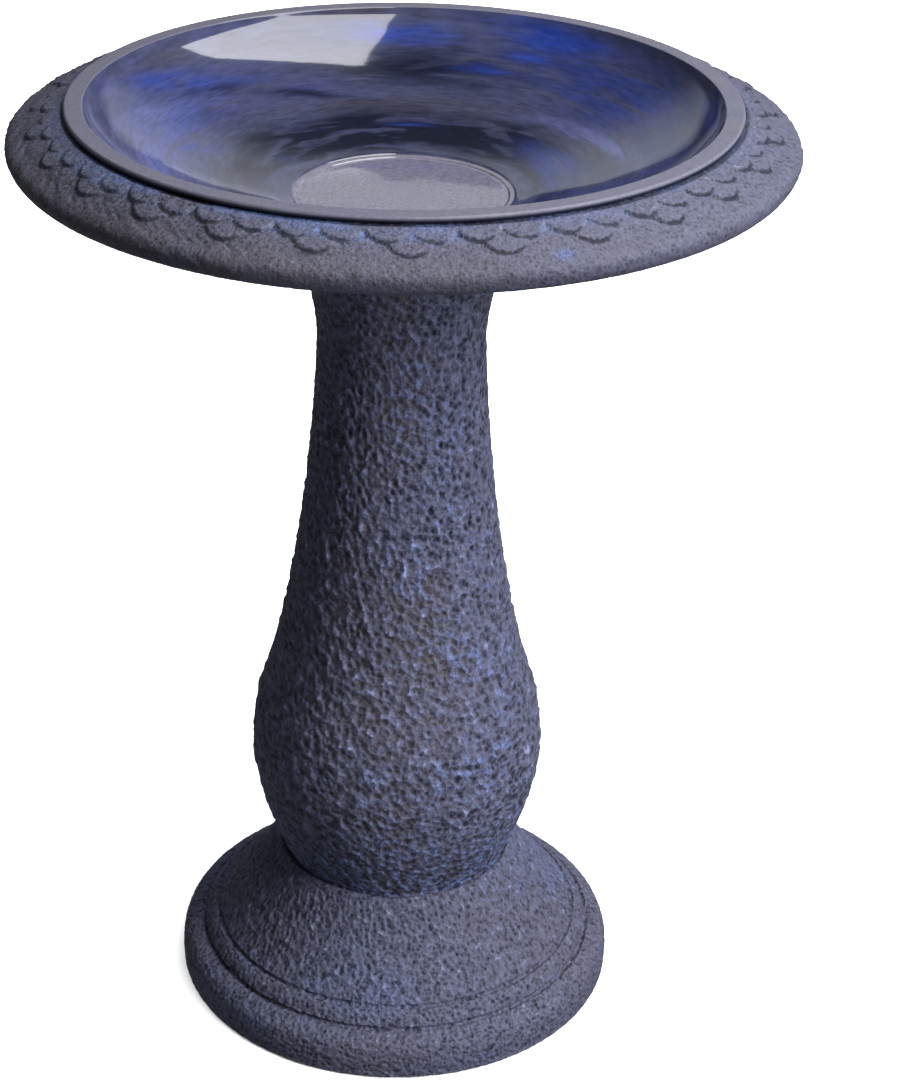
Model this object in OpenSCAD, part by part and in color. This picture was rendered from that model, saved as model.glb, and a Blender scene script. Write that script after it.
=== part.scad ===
// Free-standing garden bird bath: a lift-off bowl on a hollow pedestal, which stands in a
// ballast base. Millimetres. The origin is on the ground at the middle of the foot, +Z up.

/* [Bowl] */
// Diameter of the bowl's opening, inside the flat lip
basin_d = 418; // [340:2:520]
// Depth of water from the lip to the floor of the recess
basin_depth = 66.5; // [50:0.5:90]
// Width of the flat lip round the opening
lip_w = 12.4; // [8:0.2:20]
// Thickness of the flat lip, which stands proud of the textured rim
lip_t = 3.5; // [2:0.5:6]
// Wall of the glazed basin
basin_wall = 3.5; // [2.5:0.5:5]
// Diameter of the flat recess in the basin's floor
recess_d = 150; // [120:2:190]
// Width of the textured rim, from the lip to the outside of the roll
rim_w = 38.6; // [30:0.2:60]
// Drop from the lip to the middle of the rolled edge
rim_drop = 25.6; // [22:0.1:34]
// Radius of the rolled edge
roll_r = 10.5; // [9:0.5:13]
// Wall of the textured bowl shell
shell_wall = 4; // [3:0.5:5]

/* [Bowl socket] */
// Diameter of the pedestal's spigot, which the socket sits over
spigot_d = 111; // [80:1:120]
// Height of the socket, from its flange to the underside of the basin
socket_h = 18; // [14:1:30]
// Thickness of the socket's flange
socket_flange_t = 4; // [3:0.5:6]
// Number of screws that hold the socket to the bowl shell
socket_screw_n = 4; // [3:1:8]

/* [Pedestal] */
// Height of the pedestal, from its seat in the base to its flat top
pedestal_h = 492; // [380:2:640]
// Diameter at the foot
foot_d = 168; // [140:1:200]
// Diameter at the widest part of the belly
belly_d = 213; // [180:1:250]
// Height of the belly above the foot
belly_h = 96; // [70:1:130]
// Diameter at the neck
neck_d = 116; // [96:1:150]
// Height of the neck above the foot
neck_h = 406; // [300:2:520]
// Diameter at the flared top
top_d = 156; // [136:1:190]
// Wall of the pedestal
pedestal_wall = 4; // [3:0.5:6]

/* [Base] */
// Outside diameter of the base
base_d = 325; // [270:1:420]
// Height from the ground to the edge of the base's seat
base_h = 105; // [84:1:140]
// Height of the outer ring, up to the lower groove
ring_h = 32; // [24:1:40]
// Height of the bead between the two grooves
bead_h = 12; // [8:1:18]
// Width of the bead between the two grooves
bead_w = 11; // [8:0.5:16]
// Wall of the base
base_wall = 4; // [3:0.5:6]
// Diameter of the hub that the pedestal fits over
hub_d = 124; // [90:1:130]
// Height of the hub above the seat
hub_h = 28; // [20:1:40]
// Depth of the seat that the pedestal's foot drops into
seat_depth = 7; // [4:0.5:12]
// Thickness of the floor plate
plate_t = 3; // [2:0.5:5]
// Number of screws that hold the floor plate
plate_screw_n = 6; // [4:1:10]

/* [Filler plug] */
// Diameter of the filler hole in the hub
filler_d = 40; // [24:1:60]
// Thickness of the seal under the plug's flange
seal_t = 1.5; // [1:0.5:3]

/* [Feet] */
// Thickness of the foot pads
pad_t = 3; // [2:0.5:6]
// Diameter of the foot pads
pad_d = 18; // [12:1:26]

/* [Screws] */
// Diameter of every screw's shank
screw_d = 4; // [3:0.1:5]
// Diameter of every screw's head
screw_head_d = 7.4; // [6:0.1:9]
// Height of every screw's head
screw_head_h = 2.2; // [1.6:0.1:3]

/* [Fits] */
// Radial gap between pieces that lift apart
lift_gap = 0.4; // [0.3:0.05:1]
// Radial gap between pieces that are bonded or screwed together
bond_gap = 0.2; // [0.1:0.05:0.4]

/* [Hidden] */
$fn = 96;

curve_steps = 5;         // straight steps between two control points of a curve
arc_steps = 10;          // straight steps round an arc
groove_r = 1.7;          // radius of the two grooves in the base
shell_clear = 1.5;       // height of the base shell's edge above the ground
spigot_flange_t = 3;     // flange of the spigot, which the bowl rests on
spigot_flange_w = 8;     // how far that flange reaches past the spigot
spigot_depth = 16;       // how far the spigot reaches down inside the pedestal
hub_wall = 4;            // of the spigot, the socket and the foot ring
foot_ring_h = 22;
foot_edge = 2;           // height of the pedestal's straight foot above the base's seat
top_chamfer = 2;
step_depth = 1;          // each of the two small steps round the recess
step_w = 4;              // between those two steps
lip_seat_w = 7;          // of the shell's flat edge under the basin's lip
boss_wall = 2.6;         // round a screw's pilot hole
boss_merge = 1.5;        // how far the socket's screw bosses run into their hub
boss_gap = 2;            // between the socket's screw bosses and the basin
screw_spare = 2;         // pilot hole left beyond a screw's tip
plate_screw_bite = 12;   // of a plate screw in its boss
plug_depth = 12;         // how far the plug reaches below the hub's top
plug_flange_w = 6;
plug_flange_t = 3;
grip_w = 7;              // the plug's finger grip
grip_h = 12;

lip_r = basin_d / 2 + lip_w;
roll_x = lip_r + rim_w - roll_r;
foot_r = foot_d / 2;
foot_bore_r = foot_r - pedestal_wall;
spigot_r = spigot_d / 2;
top_bore_r = spigot_r + bond_gap;
hub_r = hub_d / 2;
filler_r = filler_d / 2;
base_r = base_d / 2;
recess_r = recess_d / 2;
pilot_r = screw_d / 2 + bond_gap / 2;
boss_r = pilot_r + boss_wall;
head_space = screw_head_d / 2 + 0.5;

seat_z = base_h - seat_depth;
hub_z = seat_z + hub_h;
pedestal_z = seat_z + pedestal_h;
bowl_z = pedestal_z + spigot_flange_t;
shell_z = bowl_z + socket_flange_t;
floor_z = bowl_z + socket_h + basin_wall;
lip_z = floor_z + basin_depth;
rim_z = lip_z - lip_t;
roll_z = lip_z - rim_drop;
plate_z = pad_t + plate_t;

socket_r = spigot_r + lift_gap;
socket_tube_r = socket_r + hub_wall;
socket_screw_r = socket_tube_r + bond_gap + shell_wall + boss_r - boss_merge;
socket_flange_r = socket_screw_r + head_space + 2;
socket_boss_h = socket_h - socket_flange_t - boss_gap;
plate_r = base_r - base_wall - bond_gap;
plate_screw_r = base_r - ring_h * 0.8;
pad_r = plate_r - pad_d / 2 - 2;
seat_r = foot_r + lift_gap;

// ---- Curves -------------------------------------------------------------------------

// A point at fraction t between b and c, on a smooth curve that also passes a and d
function curve_point(a, b, c, d, t) =
    0.5 * (2 * b + (c - a) * t + (2 * a - 5 * b + 4 * c - d) * t * t
           + (3 * b - a - 3 * c + d) * t * t * t);

// A smooth curve through every control point
function curve(p) =
    let (last = len(p) - 1)
    [for (i = [0 : last - 1]) for (s = [0 : curve_steps - 1])
        curve_point(p[max(i - 1, 0)], p[i], p[i + 1], p[min(i + 2, last)], s / curve_steps),
     p[last]];

// An arc about [x, z] from one angle to another
function arc(x, z, r, from, to) =
    [for (i = [0 : arc_steps])
        let (a = from + (to - from) * i / arc_steps)
        [x + r * cos(a), z + r * sin(a)]];

function reversed(p) = [for (i = [len(p) - 1 : -1 : 0]) p[i]];

// The unit normal to the right of the step from a to b
function right_of(a, b) = [b[1] - a[1], a[0] - b[0]] / norm(b - a);

// A path moved sideways by d, to the right of the way it runs
function shifted(p, d) =
    let (last = len(p) - 1)
    [for (i = [0 : last])
        let (before = right_of(p[max(i - 1, 0)], p[max(i, 1)]),
             after = right_of(p[min(i, last - 1)], p[min(i + 1, last)]))
        p[i] + d * (before + after) / (1 + before * after)];

// Points given as fractions of a width and a height, from a start point
function scaled(p, start, size) =
    [for (q = p) [start[0] + q[0] * size[0], start[1] + q[1] * size[1]]];

module turned(points) {
    rotate_extrude() polygon(points);
}

// A wall of even thickness to the right of an outline
module turned_shell(outline, wall) {
    turned(concat(outline, reversed(shifted(outline, wall))));
}

module ring(inner_r, outer_r, low, high) {
    turned([[inner_r, low], [outer_r, low], [outer_r, high], [inner_r, high]]);
}

module around(count, radius, turn = 0) {
    for (i = [0 : count - 1])
        rotate([0, 0, turn + i * 360 / count]) translate([radius, 0, 0]) children();
}

// A pan-head screw pointing up, its head's bearing face at z = 0
module screw(length) {
    translate([0, 0, -screw_head_h]) cylinder(d = screw_head_d, h = screw_head_h, $fn = 32);
    cylinder(d = screw_d, h = length, $fn = 32);
}

// ---- Outlines -----------------------------------------------------------------------

// The water side of the basin, from the middle of the floor to the lip
basin_outline = concat(
    [[0, floor_z], [recess_r - step_w - step_depth, floor_z],
     [recess_r - step_w, floor_z + step_depth], [recess_r - step_depth, floor_z + step_depth]],
    curve(scaled(
        [[0, 0], [0.1, 0.035], [0.28, 0.13], [0.5, 0.275], [0.7, 0.455], [0.86, 0.65],
         [0.96, 0.85], [1, 1]],
        [recess_r, floor_z + 2 * step_depth],
        [basin_d / 2 - recess_r, basin_depth - 2 * step_depth])));

// The textured side of the bowl shell, from under the lip, round the roll and in to the socket
rim_outline = concat(
    [[lip_r - lip_seat_w, rim_z]],
    curve(concat(
        scaled([[0.02, 0], [0.38, -0.2], [0.62, -0.38], [0.8, -0.57], [0.93, -0.75]],
               [lip_r, rim_z], [rim_w, rim_drop - lip_t]),
        [for (a = [15, 0]) [roll_x + roll_r * cos(a), roll_z + roll_r * sin(a)]])),
    arc(roll_x, roll_z, roll_r, -12, -90));
underside_outline = curve(scaled(
    [[0.97, 1], [0.88, 0.99], [0.74, 0.86], [0.52, 0.55], [0.3, 0.285], [0.13, 0.11],
     [0.05, 0.02], [0, 0]],
    [socket_flange_r, shell_z],
    [roll_x - socket_flange_r, roll_z - roll_r - shell_z]));
shell_outline = concat(rim_outline, underside_outline,
                       [[socket_tube_r + bond_gap, shell_z]]);

// The outside of the pedestal, from its foot to the edge of its flat top
belly_to_neck = [[0.12, 0.91], [0.26, 0.64], [0.5, 0.33], [0.74, 0.13]];
foot_h = seat_depth + foot_edge;
pedestal_curve = concat(
    [for (t = [0 : 0.25 : 1])
        [foot_r + (belly_d - foot_d) / 2 * sin(90 * t),
         seat_z + foot_h + (belly_h - foot_h) * t]],
    [for (q = belly_to_neck)
        [neck_d / 2 + (belly_d - neck_d) / 2 * q[1],
         seat_z + belly_h + (neck_h - belly_h) * q[0]]],
    scaled([[0, 0], [0.1, 0.4], [0.42, 0.72], [0.88, 0.93], [1, 1]],
           [neck_d / 2, seat_z + neck_h],
           [(top_d - neck_d) / 2, pedestal_h - neck_h - top_chamfer]));
pedestal_side = concat([[foot_r, seat_z]], curve(pedestal_curve));

// The outside of the base, from its lower edge to the rim of its seat
bead_r = base_r - ring_h / 2;
cone_r = bead_r - bead_w;
cone_z = ring_h + bead_h;
collar_r = seat_r + 3;
base_outline = concat(
    [[base_r, shell_clear]],
    curve(scaled([[0, 0.5], [0.1, 0.72], [0.35, 0.88], [0.75, 0.98], [1, 1]],
                 [base_r, 0], [bead_r - base_r, ring_h])),
    curve(scaled([[0.06, 0.05], [0.3, 0.45], [0.65, 0.8], [1, 1]],
                 [bead_r, ring_h], [-bead_w, bead_h])),
    curve(scaled([[0.03, 0.02], [0.3, 0.26], [0.6, 0.56], [0.86, 0.87], [1, 1]],
                 [cone_r, cone_z], [collar_r - cone_r, base_h - cone_z])));

// ---- Bowl ---------------------------------------------------------------------------

// Glazed dish with its flat lip, which rests on the shell's inner edge
module basin() {
    underside = shifted(basin_outline, basin_wall);
    lip_inner_r = basin_d / 2;
    color("#2b3f8f") turned(concat(
        basin_outline,
        [[lip_r - 1, lip_z], [lip_r, lip_z - 1], [lip_r, rim_z],
         [lip_inner_r + basin_wall + 1, rim_z]],
        reversed([for (q = underside) if (q[1] < rim_z - basin_wall && q[0] > 0) q]),
        [[0, floor_z - basin_wall]]));
}

// Textured outer shell: the rolled rim, the underside and the hub that carries the basin
module bowl_shell() {
    socket_bore_r = socket_tube_r + bond_gap;
    color("#55586f") difference() {
        union() {
            turned_shell(shell_outline, shell_wall);
            ring(socket_bore_r, socket_bore_r + shell_wall, shell_z, floor_z - basin_wall);
            around(socket_screw_n, socket_screw_r)
                translate([0, 0, shell_z]) cylinder(r = boss_r, h = socket_boss_h, $fn = 32);
        }
        around(socket_screw_n, socket_screw_r)
            translate([0, 0, shell_z - 1]) cylinder(r = pilot_r, h = socket_boss_h, $fn = 32);
    }
}

// Moulded socket that drops over the pedestal's spigot
module bowl_socket() {
    color("#3a3c48") difference() {
        union() {
            ring(socket_r, socket_flange_r, bowl_z, shell_z);
            ring(socket_r, socket_tube_r, bowl_z, floor_z - basin_wall - bond_gap);
        }
        around(socket_screw_n, socket_screw_r) {
            translate([0, 0, bowl_z - 1])
                cylinder(r = head_space, h = screw_head_h + 1, $fn = 32);
            translate([0, 0, bowl_z]) cylinder(r = pilot_r, h = socket_flange_t + 1, $fn = 32);
        }
    }
}

module socket_screws() {
    length = socket_flange_t - screw_head_h + socket_boss_h - 1 - screw_spare;
    color("silver") around(socket_screw_n, socket_screw_r)
        translate([0, 0, bowl_z + screw_head_h]) screw(length);
}

// ---- Pedestal -----------------------------------------------------------------------

// Cap bonded into the pedestal's top: the bowl rests on its flange, round its spigot
module neck_spigot() {
    flange_r = spigot_r + spigot_flange_w;
    spigot_top = bowl_z + socket_h - 3;
    low = pedestal_z - spigot_depth;
    color("#3a3c48") turned([
        [spigot_r - hub_wall, low], [spigot_r, low], [spigot_r, pedestal_z],
        [flange_r, pedestal_z], [flange_r, bowl_z], [spigot_r, bowl_z],
        [spigot_r, spigot_top - 2], [spigot_r - 2, spigot_top], [0, spigot_top],
        [0, spigot_top - hub_wall], [spigot_r - hub_wall, spigot_top - hub_wall]]);
}

// Hollow textured pedestal, with a straight bore at its foot for the foot ring
module pedestal() {
    ceiling_z = pedestal_z - pedestal_wall;
    inside = [for (q = shifted(pedestal_side, -pedestal_wall))
        if (q[1] > seat_z + foot_ring_h && q[1] < ceiling_z - 1) q];
    color("#454966") turned(concat(
        pedestal_side,
        [[top_d / 2 - top_chamfer, pedestal_z], [top_bore_r, pedestal_z],
         [top_bore_r, ceiling_z], [inside[len(inside) - 1][0] + 1, ceiling_z]],
        reversed(inside),
        [[foot_bore_r, seat_z + foot_ring_h], [foot_bore_r, seat_z]]));
}

// Ring bonded inside the pedestal's foot, which drops over the base's hub
module foot_ring() {
    inner_r = hub_r + lift_gap;
    outer_r = foot_bore_r - bond_gap;
    top_z = seat_z + foot_ring_h;
    web_z = seat_z + hub_wall;
    color("#3a3c48") turned([
        [inner_r, seat_z], [outer_r, seat_z], [outer_r, top_z], [outer_r - hub_wall, top_z],
        [outer_r - hub_wall, web_z], [inner_r + hub_wall, web_z], [inner_r + hub_wall, top_z],
        [inner_r, top_z]]);
}

// ---- Base ---------------------------------------------------------------------------

// Textured base: foot ring, two grooves and their bead, cone, seat and hub
module base_shell() {
    hub_inner_r = hub_r - base_wall;
    color("#4c5070") difference() {
        union() {
            turned_shell(base_outline, -base_wall);
            ring(seat_r, collar_r, seat_z, base_h);
            ring(hub_inner_r, collar_r, seat_z - base_wall, seat_z);
            ring(hub_inner_r, hub_r, seat_z - base_wall, hub_z);
            ring(filler_r, hub_r, hub_z - base_wall, hub_z);
            intersection() {
                around(plate_screw_n, plate_screw_r)
                    translate([0, 0, plate_z]) cylinder(r = boss_r, h = base_h, $fn = 32);
                turned(concat([[0, 0]], shifted(base_outline, -base_wall / 2),
                              [[0, base_h]]));
            }
        }
        for (q = [[bead_r, ring_h], [cone_r, cone_z]])
            rotate_extrude() translate(q) circle(r = groove_r, $fn = 24);
        around(plate_screw_n, plate_screw_r)
            translate([0, 0, plate_z - 1])
                cylinder(r = pilot_r, h = 1 + plate_screw_bite + screw_spare, $fn = 32);
    }
}

// Push-in plug of the ballast chamber, with a finger grip
module filler_plug() {
    flange_z = hub_z + seal_t;
    plug_r = filler_r - lift_gap;
    color("#23242b") union() {
        translate([0, 0, hub_z - plug_depth]) cylinder(r = plug_r, h = plug_depth + seal_t);
        translate([0, 0, flange_z]) cylinder(r = filler_r + plug_flange_w, h = plug_flange_t);
        translate([-filler_r * 0.8, -grip_w / 2, flange_z + plug_flange_t - 1])
            cube([filler_r * 1.6, grip_w, grip_h + 1]);
    }
}

module plug_seal() {
    color("#111114") ring(filler_r - lift_gap + bond_gap, filler_r + plug_flange_w - 1, hub_z,
                          hub_z + seal_t);
}

// Floor plate that closes the ballast chamber
module base_plate() {
    color("#3a3c48") difference() {
        translate([0, 0, pad_t]) cylinder(r = plate_r, h = plate_t);
        around(plate_screw_n, plate_screw_r)
            translate([0, 0, pad_t - 1]) cylinder(r = pilot_r, h = plate_t + 2, $fn = 32);
    }
}

module plate_screws() {
    color("silver") around(plate_screw_n, plate_screw_r)
        translate([0, 0, pad_t]) screw(plate_t + plate_screw_bite);
}

module foot_pads() {
    color("#1b1b1e") around(plate_screw_n, pad_r, 180 / plate_screw_n)
        cylinder(d = pad_d, h = pad_t, $fn = 48);
}

basin();
bowl_shell();
bowl_socket();
socket_screws();
neck_spigot();
pedestal();
foot_ring();
base_shell();
filler_plug();
plug_seal();
base_plate();
plate_screws();
foot_pads();
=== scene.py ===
"""Looks of a two-part pedestal bird bath: glazed dish, scaled rim, hammered pedestal and pebbled base."""

import itertools
import math

import bmesh
import bpy
import numpy as np
from bpy.props import FloatProperty, FloatVectorProperty, IntProperty, PointerProperty
from mathutils import Matrix, Vector


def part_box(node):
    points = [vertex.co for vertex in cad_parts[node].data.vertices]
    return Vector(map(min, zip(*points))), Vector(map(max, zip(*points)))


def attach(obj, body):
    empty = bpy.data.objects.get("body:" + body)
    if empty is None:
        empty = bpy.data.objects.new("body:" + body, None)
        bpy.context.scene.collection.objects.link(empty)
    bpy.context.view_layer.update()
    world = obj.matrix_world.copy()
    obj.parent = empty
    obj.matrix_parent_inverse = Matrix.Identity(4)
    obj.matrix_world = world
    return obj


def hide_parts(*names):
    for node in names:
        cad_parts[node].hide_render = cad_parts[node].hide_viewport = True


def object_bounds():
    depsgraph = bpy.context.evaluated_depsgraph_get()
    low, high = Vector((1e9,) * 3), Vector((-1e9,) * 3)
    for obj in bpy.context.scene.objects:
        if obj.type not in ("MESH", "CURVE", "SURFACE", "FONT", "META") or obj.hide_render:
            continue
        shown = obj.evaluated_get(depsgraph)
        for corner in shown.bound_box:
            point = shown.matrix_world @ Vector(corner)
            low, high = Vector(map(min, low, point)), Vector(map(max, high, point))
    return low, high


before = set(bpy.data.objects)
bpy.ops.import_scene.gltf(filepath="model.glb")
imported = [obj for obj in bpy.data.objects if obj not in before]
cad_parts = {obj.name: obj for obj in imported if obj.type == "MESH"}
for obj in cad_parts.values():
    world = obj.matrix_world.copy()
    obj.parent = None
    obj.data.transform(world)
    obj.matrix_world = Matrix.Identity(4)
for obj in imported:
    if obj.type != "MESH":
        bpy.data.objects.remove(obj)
CAD_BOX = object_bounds()

bl_info = {
    "name": "Bird bath looks",
    "version": (1, 0, 0),
    "blender": (4, 5, 0),
    "location": "3D View > Sidebar > Bird bath",
    "description": "Glazed dish, scaled rim, hammered pedestal, pebbled base and studio for the bird bath",
    "category": "Object",
}

MM = 0.001
LIP_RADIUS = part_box("basin")[1].x       # outside edge of the lip
LIP_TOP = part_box("basin")[1].z          # the lip's flat top, the highest point of the bird bath
DISH_RADIUS = LIP_RADIUS - 0.0124       # inside edge of the lip
DISH_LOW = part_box("basin")[0].z         # underside of the dish
RECESS_RADIUS = 0.0745                  # the round step in the middle of the dish
SEAT_RADIUS = 0.0885                    # where the base's cone meets the pedestal
CLEAR_OF_BOSSES = 15.0                  # an azimuth, in degrees, that misses every screw boss of the base
CLEAR_OF_BOWL_BOSSES = 23.0             # and one, in degrees, that misses every screw boss of the bowl
SCALE_START = 1.2 / 360                 # share of a turn from the front to a joint between two scales
LOWER_SCALE_HALF = 4.2                  # half width, in degrees, of a scale of the lower row
EDGE_SLOPE = 0.0009                     # a scale's edge falls over twice this length

# Patches of glaze, each brushed on round the dish: azimuth in degrees from the front, radius in mm,
# half length in degrees, half width in mm, mm that the stroke drifts outward each degree, and strength.
ROYAL_STROKES = [
    (-124, 184, 24, 7, 0.7, 0.6),
    (-106, 132, 10, 10, 1.9, 0.6),
    (-178, 115, 6, 3, 0.0, 0.8),
    (174, 194, 12, 5, 0.0, 1.0),
    (142, 198, 15, 9, 0.2, 1.0),
    (147, 185, 6, 5, 0.0, 0.9),
    (157, 172, 8, 4, 0.0, 0.6),
    (118, 180, 30, 26, 0.0, 0.65),
    (-108, 165, 24, 24, 0.0, 0.5),
    (84, 172, 16, 16, 0.0, 0.5),
    (108, 106, 20, 10, 0.0, 0.9),
    (86, 201, 24, 7, 0.0, 0.7),
    (20, 150, 30, 10, 0.3, 0.8),
    (-40, 180, 24, 8, -0.3, 0.8),
]
NAVY_STROKES = [
    (180, 103, 80, 25, 0.0, 1.8),
    (100, 97, 50, 16, 0.0, 1.5),
    (172, 172, 28, 17, 0.0, 0.95),
    (135, 178, 22, 14, 0.2, 0.5),
    (-146, 160, 22, 5, 0.7, 0.8),
    (84, 197, 24, 12, 0.0, 0.9),
    (-86, 198, 18, 6, 0.0, 0.5),
    (-10, 168, 40, 14, 0.0, 0.6),
]
LILAC_STROKES = [
    (-82, 165, 20, 26, 0.0, 0.9),
    (-112, 172, 16, 8, 0.7, 0.6),
    (112, 145, 32, 7, -0.3, 1.0),
    (-20, 120, 60, 16, 0.0, 0.6),
    (142, 195, 6, 1.6, 0.6, 1.2),
]
BROWN_STROKES = [
    (-104, 108, 24, 16, 0.0, 1.4),
    (-128, 197, 24, 8, 0.0, 0.7),
    (180, 205, 16, 4, 0.0, 0.9),
    (180, 138, 60, 9, 0.0, 0.8),
    (104, 172, 26, 20, 0.0, 0.5),
    (110, 129, 22, 8, 0.0, 0.7),
    (60, 130, 30, 14, 0.0, 0.5),
]
GLAZES = (ROYAL_STROKES, NAVY_STROKES, LILAC_STROKES, BROWN_STROKES)


def linear(code):
    """Linear red, green and blue of an sRGB hex colour."""
    parts = [int(code[i : i + 2], 16) / 255 for i in (1, 3, 5)]
    return tuple(p / 12.92 if p <= 0.04045 else ((p + 0.055) / 1.055) ** 2.4 for p in parts)


def colour(name, description, code):
    """A colour property whose default is an sRGB hex colour."""
    return FloatVectorProperty(
        name=name, description=description, default=linear(code), subtype="COLOR", size=3, min=0, max=1
    )


def length(name, description, millimetres):
    """A length property whose default is given in millimetres."""
    return FloatProperty(
        name=name, description=description, default=millimetres * MM, unit="LENGTH", min=0, precision=4
    )


def power(name, description, watts):
    """A property for the power of a light."""
    return FloatProperty(name=name, description=description, default=watts, unit="POWER", min=0)


def brightness(name, description, share):
    """A property for how bright a part of the room is, where 1 is white."""
    return FloatProperty(name=name, description=description, default=share, min=0)


class BirdBathSizes(bpy.types.PropertyGroup):
    scale_count: IntProperty(
        name="Scales", description="Scales in the row next to the lip", default=54, min=12
    )
    scale_depth: length("Scale height", "How far a scale stands over the rim", 1.9)
    scale_reach: length("Scale length", "How far a scale reaches past the lip", 13)
    hammer_count: IntProperty(
        name="Dents around", description="Hammer dents in one turn of the pedestal", default=84, min=8
    )
    hammer_height: length("Dent height", "Height of one hammer dent", 7.2)
    hammer_depth: length("Dent depth", "Depth of one hammer dent", 2.5)
    pebble_size: length("Pebble size", "Width of a pebble on the base's ring", 3.2)
    pebble_depth: length("Pebble depth", "Depth between two pebbles", 1.2)
    grain_size: length("Grain size", "Width of a grain of the stone-effect finish", 2.4)
    edge_round: length("Edge radius", "Roundness of a moulded edge", 0.8)


class BirdBathColours(bpy.types.PropertyGroup):
    glaze_grey: colour("Glaze grey", "Purple-grey ground of the glaze", "#343a5c")
    # This navy also paints the shade on the lip's lower edge, in the bare resin.
    glaze_royal: colour("Glaze blue", "Royal blue strokes of the glaze", "#1b2e70")
    glaze_navy_and_lip_shade: colour("Glaze navy", "Navy strokes of the glaze", "#0f1120")
    glaze_lilac: colour("Glaze lilac", "Lilac strokes of the glaze", "#50547f")
    glaze_brown: colour("Glaze brown", "Brown-grey strokes of the glaze", "#34333f")
    recess_grey: colour("Recess grey", "Pale glaze of the middle recess", "#605e6c")
    lip_grey: colour("Lip grey", "Bare rim of the dish", "#57565e")
    stone_pit: colour("Stone pit", "Stone-effect finish in its pits", "#151829")
    stone_face: colour("Stone face", "Stone-effect finish on its faces", "#4d4e62")
    stone_ridge: colour("Stone ridge", "Worn top of the stone-effect finish", "#797d9a")
    stone_brown: colour("Stone brown", "Earthy wash in the pits", "#454144")
    brush_blue: colour("Brushed blue", "Light blue dry-brushed over the finish", "#4f6495")
    moulding: colour("Moulding", "Dark polymer of the inner fittings", "#23252e")
    rubber: colour("Rubber", "Rubber of the pads and the seal", "#1a1a1c")
    zinc: colour("Zinc", "Plated screws", "#a9acb0")


class BirdBathStudio(bpy.types.PropertyGroup):
    camera_distance: length("Camera distance", "From the pedestal's axis, level with the floor", 1598)
    camera_height: length("Camera height", "Above the floor", 1199)
    camera_side: length("Camera side", "To the right of the axis", 3.4)
    camera_pitch: FloatProperty(
        name="Camera pitch", description="Below the horizon", default=math.radians(27.866), subtype="ANGLE"
    )
    camera_roll: FloatProperty(
        name="Camera roll", description="About the view's axis", default=math.radians(0.737), subtype="ANGLE"
    )
    lens: FloatProperty(name="Lens", description="Focal length", default=84.58, subtype="DISTANCE_CAMERA")
    floor_tone: colour("Floor", "Plain pale floor", "#f2f2f2")
    softbox_height: length("Softbox height", "Of the overhead softbox above the dish", 1500)
    softbox_power: power("Softbox", "Power of the overhead softbox", 88)
    side_power: power("Side light", "Power of the light at the right", 100)
    back_power: power("Back light", "Power of the light behind", 45)
    floor_power: power("Floor light", "Power of the light over the floor", 3000)
    backdrop: brightness("Backdrop", "Brightness of the backdrop behind", 0.5)
    fill: brightness("Fill", "Brightness of the rest of the room", 0.075)
    bounce: brightness("Bounce", "Brightness of the light from below", 0.28)


# ---- outlines and turned meshes ----


def outline(node, azimuth):
    """Outline of a turned CAD node where it is cut at an azimuth: radius and height, anticlockwise.

    A node that reaches the axis gives a line from the axis below to the axis above, others a loop."""
    cut = bmesh.new()
    cut.from_mesh(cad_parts[node].data)
    bmesh.ops.remove_doubles(cut, verts=cut.verts, dist=1e-6)
    cut.transform(Matrix.Rotation(math.radians(90 - azimuth), 4, "Z"))
    whole = cut.verts[:] + cut.edges[:] + cut.faces[:]
    bmesh.ops.bisect_plane(
        cut, geom=whole, dist=1e-6, plane_co=(0, 0, 0), plane_no=(0, 1, 0), clear_inner=True, clear_outer=True
    )
    whole = cut.verts[:] + cut.edges[:] + cut.faces[:]
    bmesh.ops.bisect_plane(
        cut, geom=whole, dist=1e-7, plane_co=(0, 0, 0), plane_no=(1, 0, 0), clear_inner=True
    )
    ends = [v for v in cut.verts if len(v.link_edges) == 1]
    line = [ends[0] if ends else next(iter(cut.verts))]
    seen = set(line)
    while line:
        ahead = [e.other_vert(line[-1]) for e in line[-1].link_edges]
        ahead = [v for v in ahead if v not in seen]
        if not ahead:
            break
        line.append(ahead[0])
        seen.add(ahead[0])
    points = np.array([(v.co.x, v.co.z) for v in line])
    cut.free()
    after = np.roll(points, -1, axis=0)
    area = np.sum(points[:, 0] * after[:, 1] - after[:, 0] * points[:, 1])
    return points if area > 0 else points[::-1]


def straightened(points, slack):
    """The points of a line that lie further than slack from a straight run between their neighbours."""
    if len(points) < 3:
        return points
    span = points[-1] - points[0]
    off = points - points[0]
    size = np.hypot(*span)
    if size < 1e-9:
        away = np.hypot(off[:, 0], off[:, 1])
    else:
        away = abs(off[:, 0] * span[1] - off[:, 1] * span[0]) / size
    far = int(np.argmax(away))
    if away[far] < slack:
        return points[[0, -1]]
    return np.vstack([straightened(points[: far + 1], slack)[:-1], straightened(points[far:], slack)])


def corner_marks(points, loop):
    """True for each point where the outline turns by over 20 degrees, and for both ends of an open line."""
    heading_in = np.arctan2(*(points - np.roll(points, 1, axis=0)).T[::-1])
    heading_out = np.arctan2(*(np.roll(points, -1, axis=0) - points).T[::-1])
    bend = abs((heading_out - heading_in + math.pi) % math.tau - math.pi)
    corner = bend > math.radians(20)
    if not loop:
        corner[0] = corner[-1] = True
    return corner


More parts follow.
